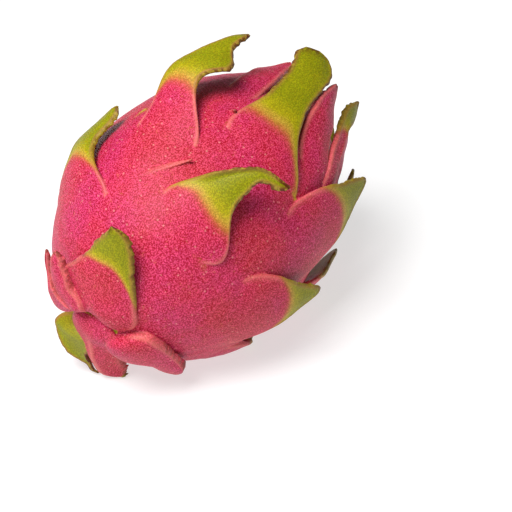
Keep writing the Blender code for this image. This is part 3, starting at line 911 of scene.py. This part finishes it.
def waxed_fruit_skin():
    """Pink, yellow and green plant skin under wax: IOR 1.45, roughness 0.48, red light scattered 2 mm."""
    material = bpy.data.materials.new("waxed_cactus_fruit_skin")
    material.use_nodes = True
    tree = material.node_tree
    painted = {}
    for key in PAINTS:
        painted[key] = add_node(tree, "ShaderNodeAttribute", {"attribute_name": key}, {}).outputs["Fac"]
    noise = skin_noises(tree)
    woven = add_node(tree, "ShaderNodeMapRange", STEP, {0: noise["grain"], 1: 0.40, 2: 0.64}).outputs[0]
    pink = pink_skin(tree, noise, woven)
    leaf, turned = green_skin(tree, noise, woven, painted["green"])
    skin = add_node(tree, "ShaderNodeMix", BLEND, {0: turned, 6: pink, 7: leaf}).outputs[2]

    # the rim number brings tan rims and the painted highlight along the middle line of a few bracts
    rim = add_node(tree, "ShaderNodeMath", MULTIPLY, {0: painted["rim"], 1: RIM_SHARE}).outputs[0]
    edge = {0: turned, 6: linear("#E07C70"), 7: linear("#A8743C")}
    edge = add_node(tree, "ShaderNodeMix", BLEND, edge).outputs[2]
    skin = add_node(tree, "ShaderNodeMix", BLEND, {0: rim, 6: skin, 7: edge}).outputs[2]
    spots = add_node(tree, "ShaderNodeMapRange", STEP, {0: noise["fleck"], 1: 0.40, 2: 0.52}).outputs[0]
    brown = add_node(tree, "ShaderNodeMath", MULTIPLY, {0: spots, 1: painted["dry"]}).outputs[0]
    skin = add_node(tree, "ShaderNodeMix", BLEND, {0: brown, 6: skin, 7: linear("#5C2C10")}).outputs[2]

    bump = {"Height": noise["grain"], "Strength": GRAIN_STRENGTH, "Distance": GRAIN_DEPTH}
    bump = add_node(tree, "ShaderNodeBump", {}, bump)
    shader = tree.nodes["Principled BSDF"]
    tree.links.new(skin, shader.inputs["Base Color"])
    tree.links.new(bump.outputs[0], shader.inputs["Normal"])
    shader.inputs["Roughness"].default_value = ROUGHNESS
    shader.inputs["IOR"].default_value = WAX_IOR
    shader.inputs["Specular IOR Level"].default_value = WAX_SHINE
    shader.inputs["Subsurface Weight"].default_value = SCATTER_SHARE
    shader.inputs["Subsurface Radius"].default_value = (1.0, 0.15, 0.12)
    shader.inputs["Subsurface Scale"].default_value = SCATTER_DEPTH
    return material


fruit.data.materials.clear()
fruit.data.materials.append(waxed_fruit_skin())
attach(fruit, "root")
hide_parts("dragon_fruit")
print("faces with the skin material:", len(fruit.data.polygons))

# %% [markdown]
# ## Floor and walls
# A studio picture of fruit is taken on a white paper sweep, with white walls that fill the shadows. The
# sweep is a plain matt plane that glows a little, as bright paper does in a long exposure, and the pale
# world is the walls.

# %% Floor and walls
FLOOR_HALF = 4.0
FLOOR_GLOW = 0.62
WALL_LIGHT = 0.14
WHITE = (1.0, 1.0, 1.0, 1.0)
floor_mesh = bpy.data.meshes.new("floor")
floor_corners = np.array([[-1, -1, 0], [1, -1, 0], [1, 1, 0], [-1, 1, 0]]) * FLOOR_HALF
floor_mesh.from_pydata(floor_corners, [], [(0, 1, 2, 3)])
floor = bpy.data.objects.new("floor", floor_mesh)
scene.collection.objects.link(floor)
paper = bpy.data.materials.new("white_paper_sweep")
paper.use_nodes = True
paper_shader = paper.node_tree.nodes["Principled BSDF"]
paper_shader.inputs["Base Color"].default_value = linear("#B0B0B0")
paper_shader.inputs["Roughness"].default_value = 0.9
paper_shader.inputs["Specular IOR Level"].default_value = 0.1
paper_shader.inputs["Emission Color"].default_value = WHITE
paper_shader.inputs["Emission Strength"].default_value = FLOOR_GLOW
floor.data.materials.append(paper)
floor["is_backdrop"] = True

world = bpy.data.worlds.new("white_walls")
scene.world = world
world.use_nodes = True
walls = world.node_tree.nodes["Background"]
walls.inputs[0].default_value = WHITE
walls.inputs[1].default_value = WALL_LIGHT
print("floor, m:", 2 * FLOOR_HALF)

# %% [markdown]
# ## The lamp
# One large soft lamp hangs high on the left, on the camera's side. The shadow that it gives is short and
# has a wide soft edge.

# %% Lamp
KEY_PLACE = Vector((-0.52, 0.06, 1.00))
KEY_AIM = Vector((0.0, 0.0, 0.04))
KEY_SIZE = 0.6
KEY_POWER = 18.5
light = bpy.data.lights.new("key", "AREA")
light.size = KEY_SIZE
light.energy = KEY_POWER
key_lamp = bpy.data.objects.new("key", light)
scene.collection.objects.link(key_lamp)
key_lamp.location = KEY_PLACE
key_lamp.rotation_mode = "QUATERNION"
key_lamp.rotation_quaternion = (KEY_PLACE - KEY_AIM).to_track_quat("Z", "Y")
scene.view_settings.view_transform = "Standard"
print("lamp to fruit, m:", round((KEY_PLACE - KEY_AIM).length, 2))

# %% [markdown]
# ## The camera
# The picture was taken from above and from the stem end, with a long lens, so that near and far parts
# look almost the same size. The camera's three axes follow from its two angles, and its place from the
# spot in the picture where the fruit's middle shows.

# %% Camera
AZIMUTH = radians(-54.0)
ELEVATION = radians(37.0)
AWAY = 0.75
METRES_PER_PIXEL = 0.000369
PICTURE = 512
MIDDLE_SHOWS = (200.0, 211.0)
back = np.array([sin(AZIMUTH) * cos(ELEVATION), -cos(AZIMUTH) * cos(ELEVATION), sin(ELEVATION)])
right = np.array([cos(AZIMUTH), sin(AZIMUTH), 0.0])
up = np.cross(right, -back)
offset = right * (MIDDLE_SHOWS[0] - PICTURE / 2) + up * (PICTURE / 2 - MIDDLE_SHOWS[1])
eye = MIDDLE - offset * METRES_PER_PIXEL + back * AWAY
lens = bpy.data.cameras.new("camera")
lens.sensor_width = 36.0
lens.lens = lens.sensor_width * AWAY / METRES_PER_PIXEL / PICTURE
camera = bpy.data.objects.new("camera", lens)
scene.collection.objects.link(camera)
camera.matrix_world = Matrix((
    (right[0], up[0], back[0], eye[0]),
    (right[1], up[1], back[1], eye[1]),
    (right[2], up[2], back[2], eye[2]),
    (0.0, 0.0, 0.0, 1.0),
))
scene.camera = camera
print("lens, mm:", round(lens.lens, 1))

# %% [markdown]
# ## The size of what was built
# The last cell writes down the size of what was built, so that it can be compared with the size of the
# measured solid that the first cell wrote down.

# %% Write the built size and finish
built_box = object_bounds()
built_size = np.array(built_box[1]) - np.array(built_box[0])
print("built, mm:", (built_size * 1000).round(1))
